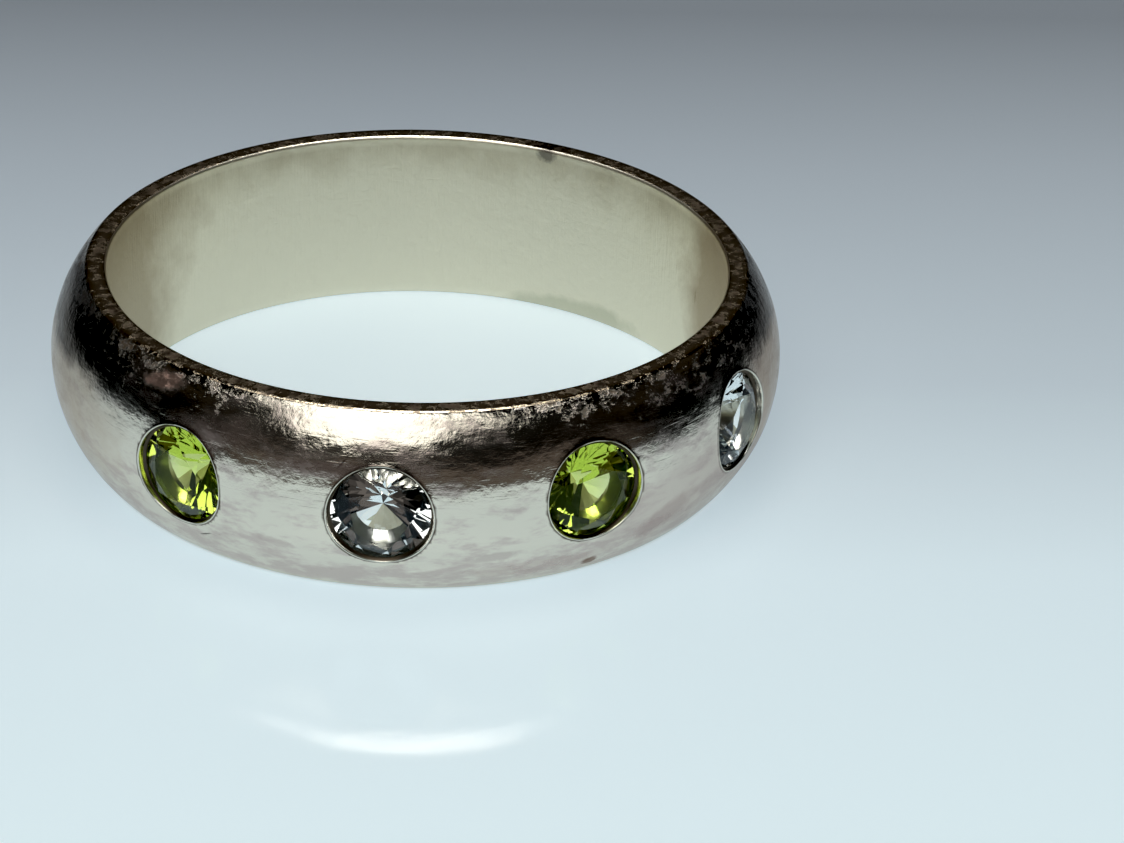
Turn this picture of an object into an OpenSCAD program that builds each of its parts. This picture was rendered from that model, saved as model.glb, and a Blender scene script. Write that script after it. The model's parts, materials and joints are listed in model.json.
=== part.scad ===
// Flush set ring: a domed band with a row of round brilliants let into it.
// The ring lies on its side. +Z runs along the finger, the flat edge rests on z = 0,
// and the third stone of the row faces -Y.

/* [Band] */
// Diameter of the finger hole
finger_d = 16.5; // [14:0.1:22]
// Width of the band along the finger
band_w = 5; // [4.4:0.1:8]
// Thickness of the band at its flat edges
edge_t = 0.53; // [0.4:0.01:1.2]
// Height of the dome over the flat edges
dome_h = 1; // [0.8:0.05:1.6]
// Rounding between the finger hole and a flat edge
inner_ease = 0.1; // [0.04:0.01:0.2]
// Rounding between a flat edge and the dome
outer_ease = 0.14; // [0.04:0.01:0.2]

/* [Stones] */
// Width of a stone across its girdle
stone_d = 2.5; // [1.8:0.05:2.8]
// Width of the table as a share of the stone
table_share = 0.58; // [0.5:0.01:0.66]
// Slope of the eight kite facets above the girdle
crown_angle = 33; // [28:0.5:36]
// Slope of the eight main facets below the girdle
pavilion_angle = 40.5; // [38:0.5:42]
// Height of the girdle
girdle_t = 0.05; // [0.03:0.01:0.12]
// Reach of the star facets from the table towards the girdle
star_share = 0.5; // [0.4:0.05:0.6]
// Reach of the lower girdle facets from the girdle towards the point
lower_share = 0.78; // [0.7:0.02:0.86]

/* [Setting] */
// Angle from one stone to the next round the finger
stone_pitch = 32.5; // [26:0.5:40]
// Turn of each stone about its own axis against the one before it
stone_turn = 11; // [0:1:22]
// Depth of a table below the top of the dome
table_drop = 0.03; // [0:0.01:0.1]
// Clear gap between a stone and its seat
seat_gap = 0.03; // [0.02:0.01:0.06]
// How far the burnished lip reaches over the girdle
lip_cover = 0.01; // [0:0.005:0.02]
// Width of the burnished lip
lip_w = 0.07; // [0.04:0.01:0.12]
// Depth of the burnished lip
lip_h = 0.05; // [0.02:0.01:0.08]
// Diameter of the hole that is drilled through under each stone
pilot_d = 1.2; // [0.8:0.1:1.6]

/* [Hidden] */
$fn = 180;
band_fn = 360;
// How far a cut runs past the metal
over = 1;
// Depth of a rounding's centre as a share of its radius. A little under 1, its circle
// crosses the two faces at a shallow angle and leaves definite edges.
ease_bite = 0.98;

// The four stones from left to right, as the setter placed them. Columns: steps from the
// third stone, and the angle in degrees by which the seat leans towards the upper edge.
STEP = 0;
LEAN = 1;
row = [[-2, 0], [-1, 0], [0, 3], [1, 4]];
silver = "#c8c4b8";
green = "#9ab82c";
clear = "#dce8e6";

// Band section: a circle of radius dome_r makes the dome
bore_r = finger_d / 2;
crown_r = bore_r + edge_t + dome_h;
half_w = band_w / 2;
dome_r = (half_w * half_w + dome_h * dome_h) / (2 * dome_h);
dome_x = crown_r - dome_r;

// Stone: heights are measured outwards from the axis of the ring
stone_r = stone_d / 2;
table_r = stone_r * table_share;
table_at = crown_r - table_drop;
girdle_top = table_at - (stone_r - table_r) * tan(crown_angle);
girdle_bottom = girdle_top - girdle_t;
culet_at = girdle_bottom - stone_r * tan(pavilion_angle);
// Angle from one kite facet to the next
facet_step = 45;
// Radius to which the facets run, past the round girdle
facet_end = 1.1 * stone_r;
facet_end_at = table_at - (facet_end - table_r) * tan(crown_angle);
// Tips of the star facets, in the planes of the kites
star_r = table_r * cos(facet_step / 2) * (1 - star_share) + stone_r * star_share;
star_at = table_at - (star_r * cos(facet_step / 2) - table_r) * tan(crown_angle);
// Highest points of the girdle, where two upper girdle facets meet on it
crest_share = (facet_end - stone_r) / (facet_end - star_r);
crest_at = facet_end_at + (star_at - facet_end_at) * crest_share;

// Seat: the same heights, with the gap round the stone
seat_r = stone_r + seat_gap;
pilot_r = pilot_d / 2;
mouth_r = stone_r - lip_cover;
mouth_at = crest_at + seat_gap;
lip_r = mouth_r + lip_w;
lip_at = mouth_at + lip_h;
bearing_at = girdle_bottom - seat_gap;
bearing_end = bearing_at - (seat_r - pilot_r) * tan(pavilion_angle);

// A sector with straight sides, long enough to take in the corner that is rounded
module wedge(centre, from, to, reach) {
    polygon(concat(
        [centre],
        [for (way = [from, (from + to) / 2, to]) centre + reach * [cos(way), sin(way)]]
    ));
}

module both_sides() {
    children();
    mirror([0, 1]) children();
}

// Rounds a corner of the section on both sides, by taking off what lies outside a circle
module eased(centre, r, from, to) {
    difference() {
        children();
        both_sides()
            difference() {
                wedge(centre, from, to, 3 * r);
                translate(centre) circle(r = r);
            }
    }
}

// Section of the band, with its middle on the X axis
module section() {
    inner_depth = inner_ease * ease_bite;
    outer_depth = outer_ease * ease_bite;
    outer_y = half_w - outer_depth;
    outer_x = dome_x + sqrt(pow(dome_r - outer_depth, 2) - outer_y * outer_y);
    outer_way = atan2(outer_y, outer_x - dome_x);
    eased([bore_r + inner_depth, half_w - inner_depth], inner_ease, 90, 180)
        eased([outer_x, outer_y], outer_ease, outer_way, 90)
            intersection() {
                translate([dome_x, 0]) circle(r = dome_r);
                translate([bore_r, -half_w]) square([edge_t + dome_h, band_w]);
            }
}

module band_body() {
    translate([0, 0, half_w])
        rotate_extrude($fn = band_fn)
            section();
}

// Places its children on the axis of a stone: z outwards, y along the finger. A seat leans
// about the centre of the dome's arc, so that it stays square to the surface.
module at_stone(place) {
    rotate([0, 0, place[STEP] * stone_pitch])
        translate([0, 0, half_w])
            rotate([90, 0, 0])
                translate([0, 0, dome_x])
                    rotate([-place[LEAN], 0, 0])
                        translate([0, 0, -dome_x])
                            children();
}

// What the setter cuts away for one stone: pilot hole, bearing, girdle seat and lip
module seat_cut() {
    rotate_extrude()
        polygon([
            [0, bore_r - over],
            [pilot_r, bore_r - over],
            [pilot_r, bearing_end],
            [seat_r, bearing_at],
            [seat_r, mouth_at],
            [mouth_r, mouth_at],
            [lip_r, lip_at],
            [lip_r, crown_r + over],
            [0, crown_r + over]
        ]);
}

module band() {
    color(silver)
        difference() {
            band_body();
            for (place = row) at_stone(place) seat_cut();
        }
}

// A ring of corners of the cut stone
function corners(r, z, turn, count) = [
    for (i = [0 : count - 1])
        let (way = turn + i * 360 / count) [r * cos(way), r * sin(way), z]
];

// Table, 8 stars, 8 kites and 16 upper girdle facets, run out past the girdle
module crown_cut() {
    table = corners(table_r, table_at, 0, 8);
    stars = corners(star_r, star_at, facet_step / 2, 8);
    edge = corners(facet_end, facet_end_at, 0, 16);
    foot = corners(facet_end, culet_at - over, 0, 16);
    // Where each ring of corners starts in the list of points
    s = len(table);
    e = s + len(stars);
    f = e + len(edge);
    polyhedron(
        points = concat(table, stars, edge, foot),
        faces = concat(
            [[for (i = [7 : -1 : 0]) i]],
            [for (i = [0 : 7]) [i, (i + 1) % 8, s + i]],
            [for (i = [0 : 7]) [i, s + i, e + i + i, s + (i + 7) % 8]],
            [for (i = [0 : 15]) [s + floor(i / 2), e + (i + 1) % 16, e + i]],
            [for (i = [0 : 15]) [e + i, e + (i + 1) % 16, f + (i + 1) % 16, f + i]],
            [[for (i = [0 : 15]) f + i]]
        )
    );
}

// 8 mains that meet in the point, and 16 lower girdle facets with their tips in the
// planes of the mains, run out past the girdle
module pavilion_cut() {
    slope = tan(pavilion_angle);
    lower_r = stone_r * (1 - lower_share);
    lower_at = culet_at + lower_r * cos(facet_step / 2) * slope;
    culet = [[0, 0, culet_at]];
    tips = corners(lower_r, lower_at, facet_step / 2, 8);
    edge = corners(facet_end, culet_at + facet_end * slope, 0, 16);
    head = corners(facet_end, table_at + over, 0, 16);
    // Where each ring of corners starts in the list of points
    t = len(culet);
    e = t + len(tips);
    h = e + len(edge);
    polyhedron(
        points = concat(culet, tips, edge, head),
        faces = concat(
            [for (i = [0 : 7]) [0, t + (i + 7) % 8, e + i + i, t + i]],
            [for (i = [0 : 15]) [t + floor(i / 2), e + i, e + (i + 1) % 16]],
            [for (i = [0 : 15]) [e + i, h + i, h + (i + 1) % 16, e + (i + 1) % 16]],
            [[for (i = [15 : -1 : 0]) h + i]]
        )
    );
}

// Round brilliant: a table, 56 more facets and a round girdle
module brilliant() {
    intersection() {
        translate([0, 0, culet_at - over])
            cylinder(r = stone_r, h = table_at - culet_at + 2 * over);
        crown_cut();
        pavilion_cut();
    }
}

module stone(place, shade) {
    color(shade)
        at_stone(place)
            rotate([0, 0, place[STEP] * stone_turn])
                brilliant();
}

module green_stone_left() { stone(row[0], green); }
module clear_stone_left() { stone(row[1], clear); }
module green_stone_right() { stone(row[2], green); }
module clear_stone_right() { stone(row[3], clear); }

band();
green_stone_left();
clear_stone_left();
green_stone_right();
clear_stone_right();
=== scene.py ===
"""Looks of a flush set ring: a hand-finished silver band and four brilliants let into it.

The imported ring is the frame. The band and the stones are modelled again here with the same
sizes, finer and with their wear, and each stands for its own node. Shapes are worked out in
millimetres and become metres when a piece is finished.
"""

from __future__ import annotations

import json
import logging
import math
from dataclasses import dataclass
from enum import Enum
from functools import partial
from typing import Sequence

import bmesh
import bpy
import numpy as np
from mathutils import Matrix, Vector, noise

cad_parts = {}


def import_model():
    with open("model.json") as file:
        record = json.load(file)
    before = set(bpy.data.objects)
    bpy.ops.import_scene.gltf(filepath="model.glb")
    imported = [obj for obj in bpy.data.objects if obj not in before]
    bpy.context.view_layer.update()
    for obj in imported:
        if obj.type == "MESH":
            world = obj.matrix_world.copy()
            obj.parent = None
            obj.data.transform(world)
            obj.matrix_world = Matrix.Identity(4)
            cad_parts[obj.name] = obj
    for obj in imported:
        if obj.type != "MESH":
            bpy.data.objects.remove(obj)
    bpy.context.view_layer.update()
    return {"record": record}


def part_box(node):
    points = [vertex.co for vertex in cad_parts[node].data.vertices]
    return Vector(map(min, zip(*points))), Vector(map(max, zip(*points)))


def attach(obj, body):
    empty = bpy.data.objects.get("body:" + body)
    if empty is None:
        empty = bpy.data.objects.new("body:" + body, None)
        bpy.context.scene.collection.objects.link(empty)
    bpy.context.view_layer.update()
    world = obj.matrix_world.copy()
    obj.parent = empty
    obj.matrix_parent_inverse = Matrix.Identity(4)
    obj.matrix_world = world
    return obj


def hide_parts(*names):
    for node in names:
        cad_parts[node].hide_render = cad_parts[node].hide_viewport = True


log = logging.getLogger("ring")

Pair = tuple[float, float]
Socket = bpy.types.NodeSocket
Tree = bpy.types.NodeTree

# Metres to one millimetre
MM = 0.001
BODY = "root"
# Points of a lathed shape that lie this close together are one, in millimetres
WELD = 1e-5
# Farther than any two points of the ring are from each other, in millimetres
FAR = 1e3
# Makes a Map Range node step softly
SOFT = {"interpolation_type": "SMOOTHSTEP"}


def srgb(hex_colour: str, alpha: float = 1.0) -> tuple[float, float, float, float]:
    """Turns a hex colour as seen on a screen to linear light.

    Args:
        hex_colour: Six hex digits.
        alpha: The fourth value of the result.

    Returns:
        Linear red, green and blue, and alpha.
    """
    parts = (int(hex_colour[i : i + 2], 16) / 255 for i in (0, 2, 4))
    linear = (p / 12.92 if p <= 0.04045 else ((p + 0.055) / 1.055) ** 2.4 for p in parts)
    return (*linear, alpha)


def add_node(
    tree: Tree,
    kind: str,
    links: dict[str | int, Socket] | None = None,
    values: dict[str | int, object] | None = None,
    out: str | int = 0,
    **settings: object,
) -> Socket | None:
    """Adds one node to a tree with its settings, constant inputs and links.

    Args:
        tree: The node tree that it goes into.
        kind: The node's type after ShaderNode, such as TexNoise.
        links: Input name or number to the output that feeds it.
        values: Input name or number to its constant value.
        out: Name or number of the output that is handed back.
        settings: The node's own properties.

    Returns:
        That output, or None from a node without outputs.
    """
    node = tree.nodes.new(f"ShaderNode{kind}")
    for name, value in settings.items():
        setattr(node, name, value)
    for key, value in (values or {}).items():
        node.inputs[key].default_value = value
    for key, socket in (links or {}).items():
        tree.links.new(socket, node.inputs[key])
    return node.outputs[out] if len(node.outputs) else None


def empty_tree(owner: bpy.types.Material | bpy.types.World) -> Tree:
    """Gives a material or a world a node tree with nothing in it.

    Args:
        owner: The new material or world.

    Returns:
        Its tree.
    """
    owner.use_nodes = True
    owner.node_tree.nodes.clear()
    return owner.node_tree


def span(low: float, high: float, start: float = 0.0, end: float = 1.0) -> dict[str, float]:
    """The inputs that map one range of a value to another."""
    return {"From Min": low, "From Max": high, "To Min": start, "To Max": end}


def place_in_mm(tree: Tree) -> Socket:
    """The place on a piece, in the ring's frame and in millimetres."""
    where = add_node(tree, "TexCoord", out="Object")
    return add_node(tree, "VectorMath", {0: where}, {"Scale": 1 / MM}, operation="SCALE")


def pattern(tree: Tree, where: Socket, spacing: Pair, layers: Pair) -> Socket:
    """Draws a random pattern, streaky where its two spacings differ.

    Args:
        tree: The material's tree.
        where: Coordinates in millimetres.
        spacing: Millimetres to one feature, round the ring and along the finger.
        layers: How many finer layers it has, and how strong they are.

    Returns:
        Its value, from 0 to 1.
    """
    scale = (1 / spacing[0], 1 / spacing[0], 1 / spacing[1])
    laid = add_node(tree, "Mapping", {"Vector": where}, {"Scale": scale})
    values = {"Scale": 1.0, "Detail": layers[0], "Roughness": layers[1]}
    return add_node(tree, "TexNoise", {"Vector": laid}, values)


def layered(tree: Tree, base: Socket | str, coats: Sequence[tuple[Socket, str]]) -> Socket:
    """Lays colours over a base one after another.

    Args:
        tree: The node tree.
        base: The colour under them.
        coats: The share of each, from 0 to 1, and its colour.

    Returns:
        The colour that comes out on top.
    """
    for share, coat in coats:
        links, values = {0: share}, {7: srgb(coat)}
        if isinstance(base, str):
            values[6] = srgb(base)
        else:
            links[6] = base
        base = add_node(tree, "Mix", links, values, out=2, data_type="RGBA")
    return base


def deselect() -> None:
    """Leaves object mode's selection empty, so that an operator acts on new work alone."""
    if bpy.context.object and bpy.context.object.mode != "OBJECT":
        bpy.ops.object.mode_set(mode="OBJECT")
    bpy.ops.object.select_all(action="DESELECT")


def make_active(obj: bpy.types.Object) -> None:
    """Selects one object alone and makes it the active one.

    Args:
        obj: The object.
    """
    deselect()
    obj.select_set(True)
    bpy.context.view_layer.objects.active = obj


def face_outwards(obj: bpy.types.Object) -> None:
    """Points every face of a closed mesh away from its inside.

    Args:
        obj: The mesh object.
    """
    make_active(obj)
    bpy.ops.object.mode_set(mode="EDIT")
    bpy.ops.mesh.select_all(action="SELECT")
    bpy.ops.mesh.normals_make_consistent(inside=False)
    bpy.ops.object.mode_set(mode="OBJECT")


def points_of(obj: bpy.types.Object) -> np.ndarray:
    """Reads where a mesh's points are.

    Args:
        obj: The mesh object.

    Returns:
        One row of X, Y and Z for each point.
    """
    points = np.empty(len(obj.data.vertices) * 3)
    obj.data.vertices.foreach_get("co", points)
    return points.reshape(-1, 3)


def lathe(name: str, outline: Sequence[Pair], steps: int, closed: bool) -> bpy.types.Object:
    """Turns an outline round the Z axis into a closed mesh, as on a lathe.

    Args:
        name: The new object's name.
        outline: Radius and height of each point of the outline, in order.
        steps: How many flats go round.
        closed: Whether the outline's last point joins its first. If not, both lie on the axis.

    Returns:
        The object, with its faces outwards.
    """
    deselect()
    bpy.ops.mesh.primitive_circle_add(vertices=len(outline), radius=1, fill_type="NOTHING")
    obj = bpy.context.object
    obj.name = name
    for vertex, (radius, height) in zip(obj.data.vertices, outline):
        vertex.co = (radius, 0, height)
    bpy.ops.object.mode_set(mode="EDIT")
    if not closed:
        mesh = bmesh.from_edit_mesh(obj.data)
        mesh.verts.ensure_lookup_table()
        mesh.edges.remove(mesh.edges.get((mesh.verts[0], mesh.verts[-1])))
        bmesh.update_edit_mesh(obj.data)
    bpy.ops.mesh.select_all(action="SELECT")
    bpy.ops.mesh.spin(steps=steps, angle=math.tau, center=(0, 0, 0), axis=(0, 0, 1))
    bpy.ops.mesh.select_all(action="SELECT")
    bpy.ops.mesh.remove_doubles(threshold=WELD)
    face_outwards(obj)
    return obj


def arc(centre: Pair, radius: float, start: float, end: float, count: int) -> list[Pair]:
    """Points along an arc of an outline, with both of its ends.

    Args:
        centre: Radius and height of the arc's centre.
        radius: The arc's own radius.
        start: Angle of the first point, in degrees.
        end: Angle of the last point, in degrees.
        count: How many pieces the arc is cut into.

    Returns:
        The points, in order.
    """
    ways = (math.radians(start + (end - start) * i / count) for i in range(count + 1))
    return [(centre[0] + radius * math.cos(w), centre[1] + radius * math.sin(w)) for w in ways]


@dataclass(frozen=True)
class Section:
    """The band's D-shaped section, in millimetres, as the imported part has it."""

    bore_r: float
    width: float
    edge_t: float = 0.53
    dome_h: float = 1.0
    inner_ease: float = 0.1
    outer_ease: float = 0.14
    # How many pieces half of the dome, the roundings, a flat edge and half of the wall have
    dome_steps: int = 30
    inner_steps: int = 6
    outer_steps: int = 8
    rim_steps: int = 4
    wall_steps: int = 12

    @property
    def half(self) -> float:
        """Half of the band's width."""
        return self.width / 2

    @property
    def crown_r(self) -> float:
        """Radius of the ring at the top of its dome."""
        return self.bore_r + self.edge_t + self.dome_h

    @property
    def dome_r(self) -> float:
        """Radius of the arc that makes the dome."""
        return (self.half**2 + self.dome_h**2) / (2 * self.dome_h)

    @property
    def dome_x(self) -> float:
        """Distance of that arc's centre from the ring's axis."""
        return self.crown_r - self.dome_r

    def outline(self) -> list[Pair]:
        """The closed outline, from the upper end of the hole's wall and round over the dome.

        Returns:
            Radius and height of each point.
        """
        ease, half = self.inner_ease, self.half
        outer_y = half - self.outer_ease
        outer_x = self.dome_x + math.sqrt((self.dome_r - self.outer_ease) ** 2 - outer_y**2)
        inner_x = self.bore_r + ease
        way = math.degrees(math.atan2(outer_y, outer_x - self.dome_x))
        upper = arc((inner_x, half - ease), ease, 180, 90, self.inner_steps)
        flat = (outer_x - inner_x) / self.rim_steps
        rim = [(inner_x + flat * i, half) for i in range(1, self.rim_steps)]
        corner = arc((outer_x, outer_y), self.outer_ease, 90, way, self.outer_steps)
        dome = arc((self.dome_x, 0), self.dome_r, way, 0, self.dome_steps)
        top = upper + rim + corner + dome[1:]
        bottom = [(r, -z) for r, z in reversed(top[:-1])]
        heights = (i / self.wall_steps - 1 for i in range(1, 2 * self.wall_steps))
        wall = [(self.bore_r, (half - ease) * height) for height in heights]
        return [(r, z + half) for r, z in top + bottom + wall]

    def dome_gap(self, points: np.ndarray) -> np.ndarray:
        """How far points lie outside the dome, with those inside it negative.

        Args:
            points: One row of X, Y and Z for each point, in millimetres.

        Returns:
            One distance for each point.
        """
        radius = np.hypot(points[:, 0], points[:, 1])
        return np.hypot(radius - self.dome_x, points[:, 2] - self.half) - self.dome_r


class Gem(Enum):
    """The two kinds of stone in the row."""

    GREEN = "green_gem"
    CLEAR = "clear_gem"


@dataclass(frozen=True)
class Place:
    """Where one stone sits: its node, its kind, and the way its seat points, in degrees."""

    node: str
    gem: Gem
    step: int
    lean: float
    pitch: float = 32.5
    turn: float = 11.0

    @property
    def piece(self) -> str:
        """The name of the modelled stone, such as cut_green_left."""
        colour, _, side = self.node.split("_")
        return f"cut_{colour}_{side}"

    def matrix(self, section: Section) -> Matrix:
        """Takes a seat's own frame, Z outwards, to the ring's, leaning about the dome's centre.

        Args:
            section: The band's section.

        Returns:
            The matrix, in millimetres.
        """
        lift = Matrix.Translation((0, 0, section.half))
        swing = Matrix.Rotation(math.radians(self.step * self.pitch), 4, "Z")
        tip = Matrix.Rotation(math.radians(90), 4, "X")
        out = Matrix.Translation((0, 0, section.dome_x))
        lean = Matrix.Rotation(math.radians(-self.lean), 4, "X")
        return swing @ lift @ tip @ out @ lean @ out.inverted()


ROW = (
    Place("green_stone_left", Gem.GREEN, -2, 0),
    Place("clear_stone_left", Gem.CLEAR, -1, 0),
    Place("green_stone_right", Gem.GREEN, 0, 3),
    Place("clear_stone_right", Gem.CLEAR, 1, 4),
)

# Half of the angle from one kite facet to the next
HALF_STEP = math.radians(22.5)


@dataclass(frozen=True)
class Cut:
    """Proportions of the round brilliants, in millimetres and degrees."""

    crown_r: float
    diameter: float = 2.5
    table_share: float = 0.58
    crown_angle: float = 33.0
    pavilion_angle: float = 40.5
    girdle_t: float = 0.05
    star_share: float = 0.5
    lower_share: float = 0.78
    table_drop: float = 0.03
    # Where the facets' planes are stated, as a share of the stone's radius
    reach_share: float = 1.1

    @property
    def radius(self) -> float:
        """Radius of the girdle."""
        return self.diameter / 2

    @property
    def table_r(self) -> float:
        """Radius of the table's corners."""
        return self.radius * self.table_share

    @property
    def table_at(self) -> float:
        """Height of the table over the ring's axis."""
        return self.crown_r - self.table_drop

    @property
    def girdle_top(self) -> float:
        """Height at which the kite facets meet the girdle."""
        return self.table_at - (self.radius - self.table_r) * self.crown_slope

    @property
    def culet_at(self) -> float:
        """Height of the stone's point."""
        return self.girdle_top - self.girdle_t - self.radius * self.pavilion_slope

    @property
    def star_r(self) -> float:
        """Radius of the star facets' tips."""
        inner = self.table_r * math.cos(HALF_STEP)
        return inner * (1 - self.star_share) + self.radius * self.star_share

    @property
    def star_at(self) -> float:
        """Height of the star facets' tips, which lie in the planes of the kites."""
        out = self.star_r * math.cos(HALF_STEP) - self.table_r
        return self.table_at - out * self.crown_slope

    @property
    def crest_at(self) -> float:
        """Height of the girdle's highest points, where two upper girdle facets meet on it."""
        fall = self.star_at - self.edge_top
        return self.edge_top + fall * (self.reach - self.radius) / (self.reach - self.star_r)

    @property
    def crown_slope(self) -> float:
        """Rise of the kite facets to one unit across."""
        return math.tan(math.radians(self.crown_angle))

    @property
    def pavilion_slope(self) -> float:
        """Rise of the main facets to one unit across."""
        return math.tan(math.radians(self.pavilion_angle))

    @property
    def reach(self) -> float:
        """Radius at which the facets' planes are stated, past the round girdle."""
        return self.reach_share * self.radius

    @property
    def edge_top(self) -> float:
        """Height of the kite facets' planes at that radius."""
        return self.table_at - (self.reach - self.table_r) * self.crown_slope

    def planes(self) -> list[tuple[Vector, Vector]]:
        """Every facet as a point in its plane and the way out of the stone.

        Returns:
            The table, 8 kites, 8 stars, 16 upper girdle facets, 8 mains and 16 lower ones.
        """
        crown, slope, reach = self.crown_slope, self.pavilion_slope, self.reach
        low_r = self.radius * (1 - self.lower_share)
        low_at = self.culet_at + low_r * math.cos(HALF_STEP) * slope
        edge_low = self.culet_at + reach * slope

        def at(radius: float, height: float, way: float) -> Vector:
            """The point at a radius, a height and an angle round the stone."""
            return Vector((radius * math.cos(way), radius * math.sin(way), height))

        found = [(Vector((0, 0, self.table_at)), Vector((0, 0, 1)))]
        for i in range(8):
            way = 2 * HALF_STEP * i
            tip, following = way + HALF_STEP, way + 2 * HALF_STEP
            corner, other = (at(self.table_r, self.table_at, w) for w in (way, following))
            star, low = at(self.star_r, self.star_at, tip), at(low_r, low_at, tip)
            found.append((corner, at(crown, 1, way).normalized()))
            found.append((at(0, self.culet_at, 0), at(slope, -1, way).normalized()))
            found.append(facing_out(corner, other, star))
            for near in (way, following):
                for point, edge in ((star, self.edge_top), (low, edge_low)):
                    found.append(facing_out(point, at(reach, edge, near), at(reach, edge, tip)))
        return found


def facing_out(a: Vector, b: Vector, c: Vector) -> tuple[Vector, Vector]:
    """The plane through three points of a stone, with its normal away from the stone's axis.

    Args:
        a: The first point.
        b: The second point.
        c: The third point.

    Returns:
        The first point and the plane's normal.
    """
    normal = (b - a).cross(c - a).normalized()
    outward = Vector((a.x + b.x + c.x, a.y + b.y + c.y, 0))
    return a, normal if normal.dot(outward) > 0 else -normal


# Distance between the points of a cutter's rounded edge before they are laid along the dome
MARK = 0.1
# The rounded edge between a seat's wall and the dome. Columns: distance out from the wall,
# depth below the dome, rise over it. The last rise ends the cutter in the open.
EDGE = (
    (0.0, 0.05, 0.0),
    (0.008, 0.031, 0.0),
    (0.02, 0.015, 0.0),
    (0.04, 0.004, 0.0),
    (0.065, 0.0, 0.0005),
    (0.085, 0.0, 0.012),
)
# Metal that has to stand over the lip for the edge to have its full depth
EDGE_ROOM = 0.06
# The rounded edge of a drilled hole in the finger hole's wall, as shares of its burr.
# Columns: distance out from the hole, depth into the metal.
DRILLED = ((2, -1.3), (0.5, 0.2), (0, 1))
# A face whose centre is no lower than this under a height belongs to what is over it
HAIR = 0.0005


@dataclass(frozen=True)
class Seat:
    """What the setter cuts for one stone, in millimetres in the seat's own frame."""

    section: Section
    cut: Cut
    gap: float = 0.03
    lip_cover: float = 0.01
    lip_w: float = 0.07
    lip_h: float = 0.05
    pilot_r: float = 0.6
    burr: float = 0.06
    # Share of the lip's width and depth at which it changes its slope
    lip_bend: float = 0.4
    # How far the cutter runs past the metal
    over: float = 1.0
    # Flats round the cutter
    steps: int = 96
    # Rounds in which the height of the dome settles
    rounds: int = 16

    @property
    def lip_r(self) -> float:
        """Radius at which the burnished lip ends and the seat's wall rises."""
        return self.cut.radius - self.lip_cover + self.lip_w

    @property
    def mouth_at(self) -> float:
        """Height of the lip's underside, over the girdle's highest points."""
        return self.cut.crest_at + self.gap

    def outline(self) -> list[Pair]:
        """The cutter's outline from axis to axis.

        Returns:
            Radius and height of each point. Those of EDGE stand MARK apart over the dome.
        """
        inner, outer = self.section.bore_r, self.section.crown_r
        seat_r = self.cut.radius + self.gap
        bearing = self.cut.girdle_top - self.cut.girdle_t - self.gap
        bearing_end = bearing - (seat_r - self.pilot_r) * self.cut.pavilion_slope
        mouth_r, mouth_at = self.cut.radius - self.lip_cover, self.mouth_at
        hole = [(self.pilot_r + a * self.burr, inner + b * self.burr) for a, b in DRILLED]
        bend_r = self.lip_r - self.lip_bend * self.lip_w
        fixed = [
            (self.pilot_r, bearing_end),
            (seat_r, bearing),
            (seat_r, mouth_at),
            (mouth_r, mouth_at),
            (bend_r, mouth_at + self.lip_bend * self.lip_h),
            (self.lip_r, mouth_at + self.lip_h),
        ]
        edge = [(self.lip_r + row[0], outer + MARK * (i + 1)) for i, row in enumerate(EDGE)]
        foot = [(0, inner - self.over), (hole[0][0], inner - self.over)]
        head = [(edge[-1][0], outer + self.over), (0, outer + self.over)]
        return foot + hole + fixed + edge + head

    def cutter(
        self, place: Place, materials: Sequence[bpy.types.Material]
    ) -> bpy.types.Object:
        """Makes the cutter for one seat, with its rounded edge laid along the dome.

        Args:
            place: Where the stone sits.
            materials: What the cut faces get: over the lip, on it and below it.

        Returns:
            The cutter, in the ring's frame.
        """
        obj = lathe(f"cutter_{place.node}", self.outline(), self.steps, closed=False)
        matrix = place.matrix(self.section)
        lip_at = self.mouth_at + self.lip_h
        for vertex in obj.data.vertices:
            row = round((vertex.co.z - self.section.crown_r) / MARK) - 1
            if 0 <= row < len(EDGE):
                _, below, over = EDGE[row]
                surface = self.surface_at(matrix, vertex.co.x, vertex.co.y)
                room = min(1.0, (surface - lip_at) / EDGE_ROOM)
                vertex.co.z = surface - below * room + over
        for face in obj.data.polygons:
            lower_than = [face.center.z < at - HAIR for at in (lip_at, self.mouth_at)]
            face.material_index = sum(lower_than)
        for material in materials:
            obj.data.materials.append(material)
        obj.data.transform(matrix)
        face_outwards(obj)
        return obj

    def surface_at(self, matrix: Matrix, x: float, y: float) -> float:
        """Height of the dome over one point of the seat's frame.

        Args:
            matrix: Takes the seat's frame to the ring's.
            x: Place round the ring, in the seat's frame.
            y: Place along the finger, in the seat's frame.

        Returns:
            The height, in the seat's frame.
        """
        height = self.section.crown_r
        for _ in range(self.rounds):
            point = np.array([matrix @ Vector((x, y, height))])
            height -= float(self.section.dome_gap(point)[0])
        return height


# Layers of the patterns below: how many finer ones, and how strong they are
CLOUDS = (6, 0.65)
GRAIN = (3, 0.6)
SWELLS = (2, 0.5)
CRUMBS = (4, 0.6)
FLECKS = (6, 0.78)
RAGS = (4, 0.65)
# Long low waves left by hand sanding along the band
SWELL_MM = (1.5, 0.7)
# The metal is a little uneven under its grain, in crumbs over a quarter of a millimetre wide
CRUMB_MM = (2 / 7, 2 / 7)
# Dull spots where the coarse emery was never polished out, in groups of finer ones
FLECK_MM = (0.32, 0.2)
FLECK_DEPTH = 0.005
# From no flecks at the lower end of their zone to many at its upper one
FLECK_RISE = (-0.17, 0.02)
# Thin clouds have fewer flecks and thick ones more
FLECK_CLOUDS = (0.3, 0.7, -0.08, 0.08)
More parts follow.
